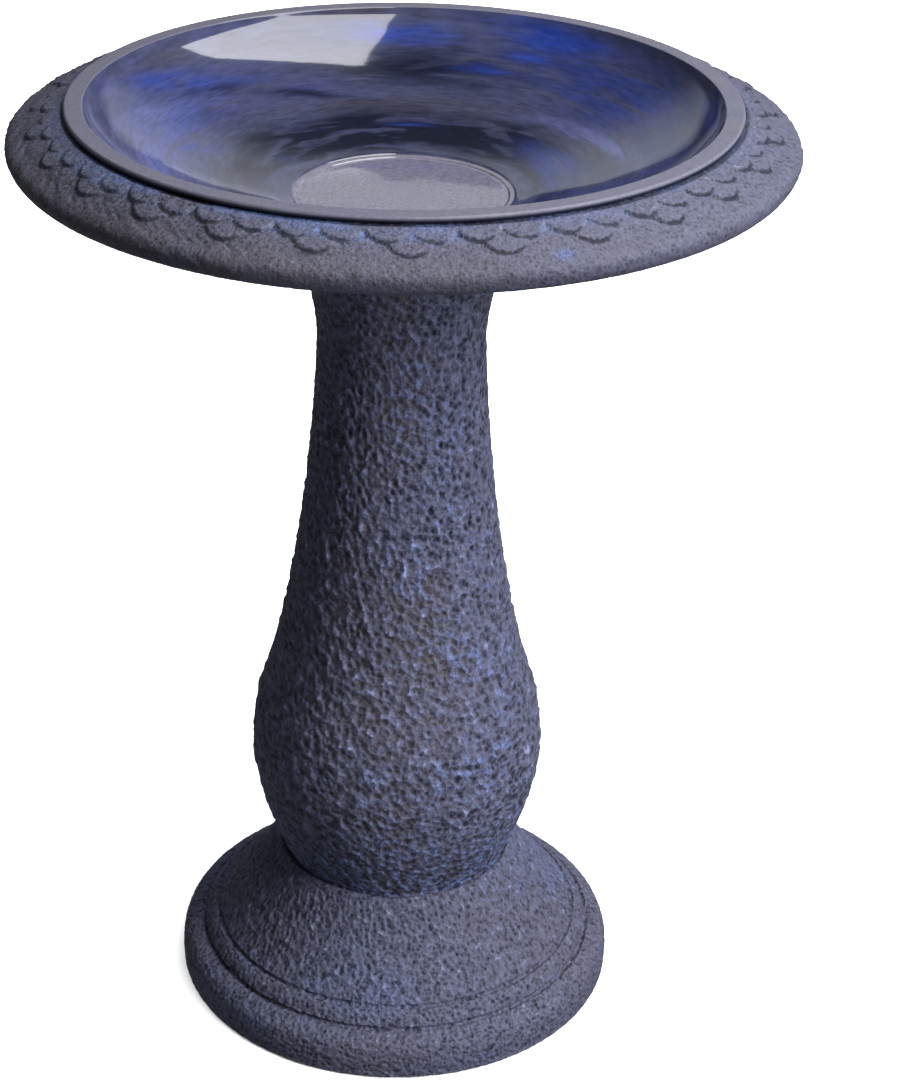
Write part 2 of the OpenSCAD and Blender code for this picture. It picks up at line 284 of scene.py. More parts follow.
def paced(stretch, start, stop, pace):
    """Points on a smooth stretch from one distance along it to another, in steps of pace(radius, height)."""
    at = stretch[:, 2]
    within = (at >= start) & (at <= stop)
    if within.sum() < 2:
        wanted = np.array([start, stop])
    else:
        worth = 1 / pace(stretch[:, 0], stretch[:, 1])
        steps = np.concatenate([[0], np.cumsum(np.diff(at) * (worth[1:] + worth[:-1]) / 2)])
        first_step, last_step = np.interp([start, stop], at, steps)
        count = max(2, math.ceil(last_step - first_step) + 1)
        wanted = np.interp(np.linspace(first_step, last_step, count), steps, at)
    return np.column_stack([np.interp(wanted, at, stretch[:, k]) for k in (0, 1)])


def softened(points, pace, edge, slack):
    """The outline in steps of pace(radius, height), smooth between its corners, which are rounded by edge.

    Returns the line, and whether it is a loop, which an outline that stays clear of the axis is."""
    loop = points[:, 0].min() > 1e-5
    if loop:
        points = np.roll(points, -int(np.argmin(points[:, 0])), axis=0)
        points = np.vstack([points, points[:1]])
    points = straightened(points, slack)
    if loop:
        points = points[:-1]
    corner = corner_marks(points, loop)
    if loop:
        first = int(np.argmax(corner))
        points = np.roll(points, -first, axis=0)
        points = np.vstack([points, points[:1]])
        corner = np.append(np.roll(corner, -first), True)
    marks = np.flatnonzero(corner)
    line = []
    for low, high in zip(marks[:-1], marks[1:]):
        stretch = smooth_run(points[low : high + 1])
        size = stretch[-1, 2]
        trim = min(edge, 0.3 * size)
        start = trim if loop or low > 0 else 0.0
        stop = size - (trim if loop or high < len(points) - 1 else 0.0)
        found = paced(stretch, start, stop, pace)
        if line:
            line.append(0.25 * line[-1] + 0.5 * points[low] + 0.25 * found[0])
        line.extend(found)
    if loop:
        line.append(0.25 * line[-1] + 0.5 * points[0] + 0.25 * line[0])
    return np.array(line), loop


def smooth_run(points):
    """A fine smooth line through the points: radius, height and distance along."""
    gaps = np.hypot(*np.diff(points, axis=0).T)
    at = np.concatenate([[0], np.cumsum(gaps)])
    if len(points) == 2:
        fine = np.linspace(0, at[-1], 40)
        return np.column_stack([np.interp(fine, at, points[:, 0]), np.interp(fine, at, points[:, 1]), fine])
    slope = np.gradient(points, at, axis=0)
    fine = np.linspace(0, at[-1], max(40, int(at[-1] / 0.0003)))
    part = np.clip(np.searchsorted(at, fine, side="right") - 1, 0, len(gaps) - 1)
    t = ((fine - at[part]) / gaps[part])[:, None]
    gap = gaps[part][:, None]
    made = (
        (2 * t**3 - 3 * t**2 + 1) * points[part]
        + (t**3 - 2 * t**2 + t) * gap * slope[part]
        + (3 * t**2 - 2 * t**3) * points[part + 1]
        + (t**3 - t**2) * gap * slope[part + 1]
    )
    along = np.concatenate([[0], np.cumsum(np.hypot(*np.diff(made, axis=0).T))])
    return np.column_stack([made, along])


def facings(line, loop):
    """The way that each point of a line faces, away from the solid, in radius and height."""
    ahead = np.roll(line, -1, axis=0)
    behind = np.roll(line, 1, axis=0)
    if not loop:
        ahead[-1] = line[-1]
        behind[0] = line[0]
    way = ahead - behind
    way /= np.maximum(np.hypot(way[:, 0], way[:, 1]), 1e-9)[:, None]
    return np.column_stack([way[:, 1], -way[:, 0]])


def ring_quads(count, columns, loop):
    """The corners of the faces between the rings of a turned mesh."""
    rows = count if loop else count - 1
    row, column = np.meshgrid(np.arange(rows), np.arange(columns), indexing="ij")
    row_after = (row + 1) % count
    column_after = (column + 1) % columns
    corners = [
        row * columns + column,
        row * columns + column_after,
        row_after * columns + column_after,
        row_after * columns + column,
    ]
    return np.stack(corners, axis=-1).reshape(-1, 4)


def turned(name, line, loop, columns, finish):
    """A mesh object: the line turned about the Z axis and carved as finish says.

    finish is given the share of a turn, the distance along the line, the radius, the height and the way
    the line faces, and returns how deep each point is carved and four values for the material."""
    facing = facings(line, loop)
    along = np.concatenate([[0], np.cumsum(np.hypot(*np.diff(line, axis=0).T))])
    turn = np.arange(columns)[None, :] / columns
    radius = line[:, 0][:, None]
    height = line[:, 1][:, None]
    shape = (len(line), columns)
    depth, tones = finish(turn, along[:, None], radius, height, facing)
    out = np.broadcast_to(radius - depth * facing[:, 0][:, None], shape)
    up = np.broadcast_to(height - depth * facing[:, 1][:, None], shape)
    angle = turn * math.tau
    places = np.stack([out * np.sin(angle), -out * np.cos(angle), up], axis=-1).reshape(-1, 3)
    mesh = bpy.data.meshes.new(name)
    mesh.from_pydata(places.tolist(), [], ring_quads(len(line), columns, loop).tolist())
    values = np.stack([np.broadcast_to(tone, shape) for tone in tones], axis=-1)
    layer = mesh.attributes.new("finish", "FLOAT_COLOR", "POINT")
    layer.data.foreach_set("color", values.astype(np.float32).ravel())
    if not loop:
        weld = bmesh.new()
        weld.from_mesh(mesh)
        bmesh.ops.remove_doubles(weld, verts=weld.verts, dist=1e-6)
        weld.to_mesh(mesh)
        weld.free()
    mesh.shade_smooth()
    made = bpy.data.objects.new(name, mesh)
    bpy.context.scene.collection.objects.link(made)
    return made


# ---- scattered patterns ----


def ease(low, high, value):
    """0 under low, 1 over high, and a smooth rise between; with low over high it falls instead."""
    share = np.clip((value - low) / (high - low), 0, 1)
    return share * share * (3 - 2 * share)


def hill(middle, width, value):
    """1 at the middle, and a smooth fall to almost 0 about two widths away on each side."""
    return np.exp(-(((value - middle) / width) ** 2))


def from_front(turn):
    """A share of a turn as degrees from the front, from -180 to 180."""
    return (turn * 360 + 180) % 360 - 180


def chance(column, row, seed):
    """A repeatable random number from 0 to 1 for each cell of a grid."""
    mixed = (column * 73856093 ^ row * 19349663 ^ seed * 83492791) & 0xFFFFFFFF
    mixed = ((mixed ^ (mixed >> 13)) * 1274126177) & 0xFFFFFFFF
    mixed = ((mixed ^ (mixed >> 15)) * 668265263) & 0xFFFFFFFF
    return ((mixed ^ (mixed >> 16)) & 0xFFFF) / 65535


def clouds(turn, run, around, tall, seed, octaves=3):
    """Smooth random patches from 0 to 1, around of them in one turn and each tall high."""
    total = 0.0
    for level in range(octaves):
        count = around * 2**level
        across, up = np.broadcast_arrays(turn * count, run / tall * 2**level)
        column, row = np.floor(across).astype(np.int64), np.floor(up).astype(np.int64)
        x, y = ease(0, 1, across - column), ease(0, 1, up - row)
        near, far = column % count, (column + 1) % count
        low = chance(near, row, seed + level) * (1 - x) + chance(far, row, seed + level) * x
        high = chance(near, row + 1, seed + level) * (1 - x) + chance(far, row + 1, seed + level) * x
        total = total + (low * (1 - y) + high * y) * 0.5**level
    return total / (2 - 0.5 ** (octaves - 1))


def dents(turn, run, around, tall, lean, seed):
    """How deep a hammer of one size has left each point, from about 0 on a ridge to 1 in the deepest dent.

    around is the number of dents in one turn, tall the height of one, and lean how many dents a row
    moves on by, which slants them. Each blow leaves a round bowl, and the deepest bowl at a point wins."""
    across, up = np.broadcast_arrays(turn * around + lean * run / tall, run / tall)
    column, row = np.floor(across).astype(np.int64), np.floor(up).astype(np.int64)
    deepest = np.full(across.shape, -1.0)
    for right, above in itertools.product((-1, 0, 1), repeat=2):
        cell = (column + right) % around
        x = column + right + 0.1 + 0.8 * chance(cell, row + above, seed)
        y = row + above + 0.1 + 0.8 * chance(cell, row + above, seed + 1)
        blow = 0.55 + 0.45 * chance(cell, row + above, seed + 2)
        bowl = blow - 1.5 * ((across - x) ** 2 + (up - y) ** 2)
        deepest = np.maximum(deepest, bowl)
    return np.clip(deepest, 0, 1)


def strokes(turn, radius, patches):
    """How much of a glaze the brush left at each point, from 0 to 1."""
    degrees = turn * 360
    ragged = clouds(turn, radius, 9, 0.03, 5) - 0.5
    frayed = clouds(turn, radius, 24, 0.006, 9) - 0.5
    total = np.zeros(np.broadcast(turn, radius).shape)
    for azimuth, middle, half_length, half_width, drift, strength in patches:
        past = (degrees - azimuth + 180) % 360 - 180
        along = (past + 26 * ragged) / half_length
        across = (radius / MM - middle - drift * past + 16 * ragged + 7 * frayed) / half_width
        total = np.maximum(total, strength * np.exp(-(along**2) - across**2))
    return total


# ---- materials ----

# Settings that several nodes share, and the span that most of a noise's values lie in.
EASED = {"interpolation_type": "SMOOTHSTEP"}
COLOUR_MIX = {"data_type": "RGBA"}
SCALED = {"operation": "SCALE"}
SUM = {"operation": "ADD"}
PRODUCT = {"operation": "MULTIPLY"}
CLAMPED_PRODUCT = {"operation": "MULTIPLY", "use_clamp": True}
PRODUCT_AND_SUM = {"operation": "MULTIPLY_ADD"}
NOISE_SPAN = {"From Min": 0.3, "From Max": 0.7}


def add_node(tree, kind, settings=None, inputs=None):
    """Adds a node with its own settings, and sets or links its inputs."""
    made = tree.nodes.new("ShaderNode" + kind)
    for name, value in (settings or {}).items():
        setattr(made, name, value)
    for name, value in (inputs or {}).items():
        if isinstance(value, bpy.types.NodeSocket):
            tree.links.new(value, made.inputs[name])
        else:
            made.inputs[name].default_value = value
    return made


def new_material(name):
    """An empty material with its tree and output node."""
    made = bpy.data.materials.new(name)
    made.use_nodes = True
    made.node_tree.nodes.clear()
    return made, made.node_tree, add_node(made.node_tree, "OutputMaterial")


def opaque(rgb):
    """A colour property as a node's colour."""
    return (*rgb, 1.0)


def glazed_resin(colours):
    """Gloss-lacquered resin, brushed with four glazes under a clear coat: deep streaks, sharp reflections."""
    material, tree, output = new_material("glazed_resin")
    place = add_node(tree, "TexCoord").outputs["Object"]
    masks = add_node(tree, "Attribute", {"attribute_name": "finish"})
    split = add_node(tree, "SeparateColor", inputs={"Color": masks.outputs["Color"]})
    flat = add_node(tree, "VectorMath", PRODUCT, {0: place, 1: (1, 1, 0)})
    size = add_node(tree, "VectorMath", {"operation": "LENGTH"}, {0: flat.outputs[0]})
    around = add_node(tree, "VectorMath", {"operation": "NORMALIZE"}, {0: flat.outputs[0]})
    # Brush marks run round the dish: 11 mm wide and about 80 mm long.
    rings = add_node(tree, "Math", PRODUCT, {0: size.outputs["Value"], 1: 1 / 0.011})
    rise = add_node(tree, "CombineXYZ", inputs={"Z": rings.outputs[0]})
    wide = add_node(tree, "VectorMath", SCALED, {0: around.outputs[0], "Scale": 2.4})
    brushed = add_node(tree, "VectorMath", SUM, {0: wide.outputs[0], 1: rise.outputs[0]})
    marks = add_node(
        tree, "TexNoise", inputs={
            "Vector": brushed.outputs[0], "Scale": 1.0, "Detail": 5.0, "Distortion": 0.7,
        }
    )
    # The ground shifts between grey and brown in clouds about 30 mm across.
    mottle = add_node(
        tree, "TexNoise", inputs={"Vector": place, "Scale": 1 / 0.03, "Detail": 4.0, "Distortion": 0.6}
    )
    ground = add_node(
        tree, "Mix", COLOUR_MIX,
        {0: mottle.outputs["Fac"], 6: opaque(colours.glaze_grey), 7: opaque(colours.glaze_brown)},
    )
    paint = ground.outputs[2]
    # The brush marks thin each coat, so that the one below shows through in streaks.
    thin = add_node(
        tree, "MapRange", EASED,
        {"Value": marks.outputs["Fac"], "From Min": 0.32, "From Max": 0.6, "To Min": 0.2, "To Max": 1.15},
    )
    coats = (
        (masks.outputs["Alpha"], colours.glaze_brown),
        (split.outputs["Blue"], colours.glaze_lilac),
        (split.outputs["Green"], colours.glaze_navy_and_lip_shade),
        (split.outputs["Red"], colours.glaze_royal),
    )
    for amount, rgb in coats:
        cover = add_node(tree, "Math", CLAMPED_PRODUCT, {0: amount, 1: thin.outputs[0]})
        coat = add_node(tree, "Mix", COLOUR_MIX, {0: cover.outputs[0], 6: paint, 7: opaque(rgb)})
        paint = coat.outputs[2]
    in_recess = add_node(
        tree, "MapRange", EASED,
        {
            "Value": size.outputs["Value"], "From Min": RECESS_RADIUS + 0.001,
            "From Max": RECESS_RADIUS - 0.002,
        },
    )
    recess = add_node(
        tree, "Mix", COLOUR_MIX, {0: in_recess.outputs[0], 6: paint, 7: opaque(colours.recess_grey)}
    )
    # Brush hairs, about 2 mm apart, lighten and darken the lacquer a little.
    hairs = add_node(tree, "TexNoise", inputs={"Vector": brushed.outputs[0], "Scale": 5.0, "Detail": 3.0})
    shade = add_node(
        tree, "MapRange",
        inputs={"Value": hairs.outputs["Fac"], **NOISE_SPAN, "To Min": 0.75, "To Max": 1.25},
    )
    streaked = add_node(tree, "VectorMath", SCALED, {0: recess.outputs[2], "Scale": shade.outputs[0]})
    gloss = add_node(
        tree, "MapRange",
        inputs={"Value": mottle.outputs["Fac"], **NOISE_SPAN, "To Min": 0.1, "To Max": 0.2},
    )
    # The lacquer is a little uneven, in waves about 20 mm long and a few hundredths of a millimetre deep.
    waves = add_node(tree, "TexNoise", inputs={"Vector": place, "Scale": 1 / 0.02, "Detail": 1.0})
    uneven = add_node(
        tree, "Bump", inputs={"Height": waves.outputs["Fac"], "Distance": 0.00006, "Strength": 1.0},
    )
    shader = add_node(
        tree, "BsdfPrincipled",
        inputs={
            "Base Color": streaked.outputs[0],
            "Roughness": gloss.outputs[0],
            "IOR": 1.5,
            "Specular IOR Level": 0.1,
            "Coat Weight": 1.0,
            "Coat Roughness": 0.05,
            "Coat IOR": 1.6,
            "Normal": uneven.outputs["Normal"],
            "Coat Normal": uneven.outputs["Normal"],
        },
    )
    tree.links.new(shader.outputs["BSDF"], output.inputs["Surface"])
    return material


def bare_resin(colours, grain):
    """Bare cast resin, wiped clean of paint: dull grey with fine grain, spots worn by rubbing, and painted
    shade on the lip's lower edge.
    """
    material, tree, output = new_material("bare_cast_resin")
    place = add_node(tree, "TexCoord").outputs["Object"]
    speck = add_node(tree, "TexNoise", inputs={"Vector": place, "Scale": 1 / grain, "Detail": 3.0})
    rub = add_node(tree, "TexNoise", inputs={"Vector": place, "Scale": 1 / 0.04, "Detail": 3.0})
    shade = add_node(
        tree, "MapRange",
        inputs={
            "Value": speck.outputs["Fac"], "From Min": 0.25, "From Max": 0.75, "To Min": 0.8, "To Max": 1.2,
        },
    )
    tone = add_node(
        tree, "Mix", COLOUR_MIX,
        {0: rub.outputs["Fac"], 6: opaque(colours.lip_grey), 7: opaque(colours.stone_face)},
    )
    masks = add_node(tree, "Attribute", {"attribute_name": "finish"})
    split = add_node(tree, "SeparateColor", inputs={"Color": masks.outputs["Color"]})
    # Painted shade: where the green mask is set, on the lip's lower edge, the resin is darkened to navy.
    lip_painted_shade = add_node(
        tree, "Mix", COLOUR_MIX,
        {0: split.outputs["Green"], 6: tone.outputs[2], 7: opaque(colours.glaze_navy_and_lip_shade)},
    )
    worn = add_node(tree, "VectorMath", SCALED, {0: lip_painted_shade.outputs[2], "Scale": shade.outputs[0]})
    dull = add_node(
        tree, "MapRange",
        inputs={"Value": rub.outputs["Fac"], **NOISE_SPAN, "To Min": 0.45, "To Max": 0.65},
    )
    rough = add_node(
        tree, "Bump", inputs={"Height": speck.outputs["Fac"], "Distance": 0.0002, "Strength": 0.6},
    )
    shader = add_node(
        tree, "BsdfPrincipled",
        inputs={
            "Base Color": worn.outputs[0], "Roughness": dull.outputs[0],
            "IOR": 1.5, "Normal": rough.outputs["Normal"],
        },
    )
    tree.links.new(shader.outputs["BSDF"], output.inputs["Surface"])
    return material


def stone_resin(name, colours, grain, grit, pit, pit_depth, light, contrast):
    """Cast resin with a stone-effect finish: dark pits, worn ridges, an earthy wash and dry-brushed blue.

    grain is the width of a grain and grit how far it stands out, pit the width of a small pit and pit_depth
    how deep it is, all in metres; light makes the whole finish lighter, and contrast its grain stronger."""
    material, tree, output = new_material(name)
    place = add_node(tree, "TexCoord").outputs["Object"]
    masks = add_node(tree, "Attribute", {"attribute_name": "finish"})
    split = add_node(tree, "SeparateColor", inputs={"Color": masks.outputs["Color"]})
    speck = add_node(
        tree, "TexNoise", inputs={"Vector": place, "Scale": 1 / grain, "Detail": 4.0, "Roughness": 0.72}
    )
    # The earthy wash lies in blotches about 45 mm across.
    blotch = add_node(tree, "TexNoise", inputs={"Vector": place, "Scale": 1 / 0.045, "Detail": 4.0})
    # Small pits, bent out of round by the grain.
    bend = add_node(tree, "VectorMath", SCALED, {0: speck.outputs["Color"], "Scale": 0.8 * grain})
    bent = add_node(tree, "VectorMath", SUM, {0: place, 1: bend.outputs[0]})
    pits = add_node(
        tree, "TexVoronoi", {"feature": "SMOOTH_F1"}, {
            "Vector": bent.outputs[0], "Scale": 1 / pit, "Smoothness": 0.2,
        }
    )
    # How high a point stands: the carved height, the brims of the pits and the grain.
    brim = add_node(tree, "Math", PRODUCT_AND_SUM, {0: pits.outputs["Distance"], 1: 0.7, 2: -0.3})
    raised = add_node(tree, "Math", SUM, {0: split.outputs["Red"], 1: brim.outputs[0]})
    height = add_node(tree, "Math", PRODUCT_AND_SUM, {0: speck.outputs["Fac"], 1: 0.35, 2: raised.outputs[0]})
    rise = add_node(tree, "MapRange", EASED, {"Value": height.outputs[0], "From Min": 0.2, "From Max": 0.85})
    body = add_node(
        tree, "Mix", COLOUR_MIX,
        {0: rise.outputs[0], 6: opaque(colours.stone_pit), 7: opaque(colours.stone_face)},
    )
    earth = add_node(tree, "Math", CLAMPED_PRODUCT, {0: blotch.outputs["Fac"], 1: split.outputs["Blue"]})
    washed = add_node(
        tree, "Mix", COLOUR_MIX, {0: earth.outputs[0], 6: body.outputs[2], 7: opaque(colours.stone_brown)}
    )
    worn = add_node(tree, "MapRange", EASED, {"Value": height.outputs[0], "From Min": 1.0, "From Max": 1.4})
    ridged = add_node(
        tree, "Mix", COLOUR_MIX, {0: worn.outputs[0], 6: washed.outputs[2], 7: opaque(colours.stone_ridge)}
    )
    # The dry brush leaves blue where the grain catches it.
    catch = add_node(
        tree, "MapRange", EASED,
        {"Value": speck.outputs["Fac"], "From Min": 0.25, "From Max": 0.65},
    )
    dabs = add_node(tree, "Math", CLAMPED_PRODUCT, {0: catch.outputs[0], 1: split.outputs["Green"]})
    brushed = add_node(
        tree, "Mix", COLOUR_MIX, {0: dabs.outputs[0], 6: ridged.outputs[2], 7: opaque(colours.brush_blue)}
    )
    darkest = (1 - contrast) * light
    lightest = (1 + contrast) * light
    shade = add_node(
        tree, "MapRange",
        inputs={
            "Value": speck.outputs["Fac"], "From Min": 0.25,
            "From Max": 0.75, "To Min": darkest, "To Max": lightest,
        },
    )
    grainy = add_node(tree, "VectorMath", SCALED, {0: brushed.outputs[2], "Scale": shade.outputs[0]})
    dull = add_node(
        tree, "MapRange",
        inputs={"Value": speck.outputs["Fac"], **NOISE_SPAN, "To Min": 0.75, "To Max": 0.55},
    )
    pitted = add_node(
        tree, "Bump", inputs={"Height": pits.outputs["Distance"], "Distance": pit_depth, "Strength": 1.0},
    )
    rough = add_node(
        tree, "Bump",
        inputs={
            "Height": speck.outputs["Fac"], "Distance": grit,
            "Strength": 1.0, "Normal": pitted.outputs["Normal"],
        },
    )
    shader = add_node(
        tree, "BsdfPrincipled",
        inputs={
            "Base Color": grainy.outputs[0],
            "Roughness": dull.outputs[0],
            "IOR": 1.5,
            "Normal": rough.outputs["Normal"],
        },
    )
    tree.links.new(shader.outputs["BSDF"], output.inputs["Surface"])
    return material


def moulded_polymer(name, rgb, grain, sheen_low, sheen_high, relief):
    """Injection-moulded polymer or rubber: one dark colour, a fine spark-eroded grain, faint flow marks."""
    material, tree, output = new_material(name)
    place = add_node(tree, "TexCoord").outputs["Object"]
    speck = add_node(tree, "TexNoise", inputs={"Vector": place, "Scale": 1 / grain, "Detail": 3.0})
    flow = add_node(
        tree, "TexNoise", inputs={"Vector": place, "Scale": 1 / 0.03, "Detail": 3.0, "Distortion": 1.0},
    )
    shade = add_node(
        tree, "MapRange",
        inputs={"Value": flow.outputs["Fac"], **NOISE_SPAN, "To Min": 0.8, "To Max": 1.25},
    )
    tone = add_node(tree, "VectorMath", SCALED, {0: tuple(rgb), "Scale": shade.outputs[0]})
    dull = add_node(
        tree, "MapRange",
        inputs={
            "Value": speck.outputs["Fac"], **NOISE_SPAN, "To Min": sheen_low, "To Max": sheen_high
        },
    )
    rough = add_node(
        tree, "Bump", inputs={"Height": speck.outputs["Fac"], "Distance": relief, "Strength": 0.5},
    )
    shader = add_node(
        tree, "BsdfPrincipled",
        inputs={
            "Base Color": tone.outputs[0],
            "Roughness": dull.outputs[0],
            "IOR": 1.5,
            "Normal": rough.outputs["Normal"],
        },
    )
    tree.links.new(shader.outputs["BSDF"], output.inputs["Surface"])
    return material


def plated_steel(colours):
    """Zinc-plated steel: bright grey metal, a little mottled where the plating has dulled."""
    material, tree, output = new_material("zinc_plated_steel")
    place = add_node(tree, "TexCoord").outputs["Object"]
    speck = add_node(tree, "TexNoise", inputs={"Vector": place, "Scale": 1 / 0.0008, "Detail": 3.0})
    shade = add_node(
        tree, "MapRange",
        inputs={"Value": speck.outputs["Fac"], **NOISE_SPAN, "To Min": 0.85, "To Max": 1.1},
    )
    tone = add_node(tree, "VectorMath", SCALED, {0: tuple(colours.zinc), "Scale": shade.outputs[0]})
    dull = add_node(
        tree, "MapRange",
        inputs={"Value": speck.outputs["Fac"], **NOISE_SPAN, "To Min": 0.25, "To Max": 0.42},
    )
    shader = add_node(
        tree, "BsdfPrincipled", inputs={
            "Base Color": tone.outputs[0], "Roughness": dull.outputs[0], "Metallic": 1.0,
        }
    )
    tree.links.new(shader.outputs["BSDF"], output.inputs["Surface"])
    return material


# ---- pieces ----


def dish_finish(turn, run, radius, height, facing):
    """Smooth lacquered face with the four glazes brushed round it, and painted shade on the lip's lower edge.
    """
    inside = (facing[:, 1] > 0.1)[:, None] & (radius < DISH_RADIUS)
    tones = [strokes(turn, radius, glaze) * inside for glaze in GLAZES]
    # Painted shade: the lip's outer side, just under its top, gets the navy mask, which darkens it like the
    # shadow under the lip.
    lower_edge = ease(LIP_TOP - 0.0014, LIP_TOP - 0.0024, height) * (radius > LIP_RADIUS - 0.0015)
    tones[1] = tones[1] + lower_edge
    return np.zeros((1, 1)), tones


def scale_rows(turn, radius, sizes):
    """The two rows of scales next to the lip: where they are raised, grooved with a painted shadow along the
    left and lower edge, and given a painted highlight at the right.

    The upper row's scales fill it side by side. Under every second joint between them a longer scale of the
    lower row comes out."""
    ragged = (clouds(turn, radius, 160, 0.006, 21) - 0.5) * 0.0004
    cusp = LIP_RADIUS + 0.0026
    upper_turn = (turn - SCALE_START) * sizes.scale_count
    across = 2 * (upper_turn - np.floor(upper_turn)) - 1
    which = np.floor(upper_turn).astype(np.int64) % sizes.scale_count
    lift = 0.7 + 0.3 * chance(which, 0 * which, 31)
    edge = cusp + sizes.scale_reach * np.sqrt(np.maximum(0, 1 - across**2)) + ragged
    dome = 0.55 + 0.45 * ease(cusp, edge, radius)
    upper = ease(edge + EDGE_SLOPE, edge - EDGE_SLOPE, radius) * dome * lift
    lower_turn = upper_turn / 2
    sideways = (lower_turn - np.round(lower_turn)) * 720 / sizes.scale_count / LOWER_SCALE_HALF
    lower_edge = cusp + 1.75 * sizes.scale_reach * np.sqrt(np.maximum(0, 1 - sideways**2)) + ragged
    on_lower = abs(sideways) < 1
    lower = ease(lower_edge + EDGE_SLOPE, lower_edge - EDGE_SLOPE, radius) * on_lower * 0.62
    # Painted shadow: a dark line in the corner under each scale's edge, on its left and lower side, fading
    # out at the right, where a painted highlight lightens the edge instead.
    beside = hill(0.0006, 0.0011, radius - edge)
    below = hill(0.0006, 0.0011, radius - lower_edge) * on_lower * (1 - upper)
    groove = beside * ease(0.95, 0.1, across) + below * ease(0.95, 0.1, sideways)
    painted_highlight = beside * ease(0.5, 0.9, across) + below * ease(0.5, 0.9, sideways)
    return upper, lower, groove, np.clip(painted_highlight, 0, 1)


def rim_finish(turn, run, radius, height, facing):
    """Two rows of overlapping scales next to the lip, and sanded stone round the roll."""
    sizes = bpy.context.scene.bird_bath_sizes
    top = (facing[:, 1] > -0.2)[:, None] & (radius > LIP_RADIUS - 0.002)
    upper, lower, groove, painted_highlight = scale_rows(turn, radius, sizes)
    # A narrow groove carved round the foot of the lip; added to the groove mask, it is also darkened as
    # painted shade.
    seam = hill(LIP_RADIUS + 0.0012, 0.0009, radius)
    groove = np.clip(groove + seam, 0, 1)
    raised = np.maximum(upper, lower)
    ground = ease(0.2575, 0.249, radius)
    fine = clouds(turn, run, 420, 0.0035, 41, 2)
    drag = clouds(turn + run * 1.2, run, 520, 0.012, 43, 2)
    depth = sizes.scale_depth * (1 - raised) * ground + 0.0012 * seam
    depth = depth + 0.0007 * (fine - 0.5) + 0.0022 * (drag - 0.5) * ease(0.24, 0.254, radius)
    depth = depth + 0.0005 * groove
    degrees = from_front(turn)
    patches = clouds(turn, run, 30, 0.02, 51)
    near_lip = ease(0.24, 0.226, radius)
    blue = near_lip * (1 - upper) * ease(0.34, 0.56, patches) * (0.35 + hill(-28, 48, degrees))
    under_roll = 0.4 * hill(LIP_TOP - 0.0335, 0.0016, height) * (radius > 0.25) * ease(0.35, 0.6, patches)
    scuff = 0.8 * hill(22, 1.2, degrees) * hill(0.2515, 0.003, radius)
    # Painted shadow darkens the scales' grooves and the seam, and the painted highlight lightens their right
    # edges; raised scales, drag marks and grain set the rest.
    worn = 0.52 + 0.1 * raised - 0.9 * groove + 0.3 * painted_highlight + 0.3 * (drag - 0.5) + 0.3 * (fine - 0.5)
    # Painted shade: the rim is darker towards its left, about 47 degrees from the front.
    worn = worn - 0.2 * hill(-47, 25, degrees)
    earthy = 0.9 * hill(-40, 60, degrees) * ease(0.235, 0.255, radius) + 0.25 * patches
    tones = [worn, np.clip(blue + under_roll + scuff, 0, 1), earthy * (1 - groove), np.zeros((1, 1))]
    depth = depth + 0.0008 * scuff * fine
    return depth * top + 0.0003 * fine * ~top, tones


def pedestal_finish(turn, run, radius, height, facing):
    """Hand-hammered clay: round dents on the belly, slanting ones on the neck and grit at the foot."""
    sizes = bpy.context.scene.bird_bath_sizes
    low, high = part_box("pedestal")
    outside = ease(0.1, 0.5, facing[:, 0])[:, None]
    share = (height - low.z) / (high.z - low.z)
    ends = ease(low.z + 0.005, low.z + 0.014, height) * ease(high.z - 0.002, high.z - 0.008, height)
    bend = clouds(turn, run, 30, 0.018, 61) - 0.5
    sway = clouds(turn, run, 30, 0.018, 67) - 0.5
    warped = turn + 1.3 * bend / sizes.hammer_count
    climb = run + 1.3 * sway * sizes.hammer_height
    big = dents(warped, climb, sizes.hammer_count, sizes.hammer_height, 0.45, 71)
    small = dents(warped, climb, 3 * sizes.hammer_count // 2, 0.6 * sizes.hammer_height, 0.3, 83)
    chips = clouds(turn, run, 3 * sizes.hammer_count, 0.003, 89, 2)
    foot = ease(0.2, 0.03, share)
    neck = ease(0.6, 0.95, share)
    swell = clouds(turn, run, 14, 0.04, 91)
    carved = big * (0.75 - 0.45 * foot) + small * (0.35 + 0.3 * foot) + 0.22 * chips
    depth = sizes.hammer_depth * (carved + 0.3 * swell - 0.25) * (1 - 0.55 * neck - 0.35 * foot)
    depth = depth - 0.35 * sizes.hammer_depth
    degrees = from_front(turn)
    patches = clouds(turn, run, 12, 0.05, 97)
    blue_side = 0.3 + 0.7 * hill(45, 45, degrees)
    ridge = ease(0.62, 0.35, carved)
    blue = ridge * (0.3 + ease(0.45, 0.7, patches)) * blue_side * 0.55 + 0.6 * foot * ridge
    front = hill(0, 50, degrees)
    earthy = ease(0.5, 0.9, carved) * (0.35 + 0.8 * front) * ease(0.3, 0.6, clouds(turn, run, 9, 0.07, 101))
    # Painted shade: the neck, under the bowl, is made darker.
    worn = 1.05 - (0.85 - 0.3 * neck) * carved - 0.3 * neck - 0.15 * foot
    return depth * outside * ends, [worn, np.clip(blue, 0, 1), earthy, np.zeros((1, 1))]


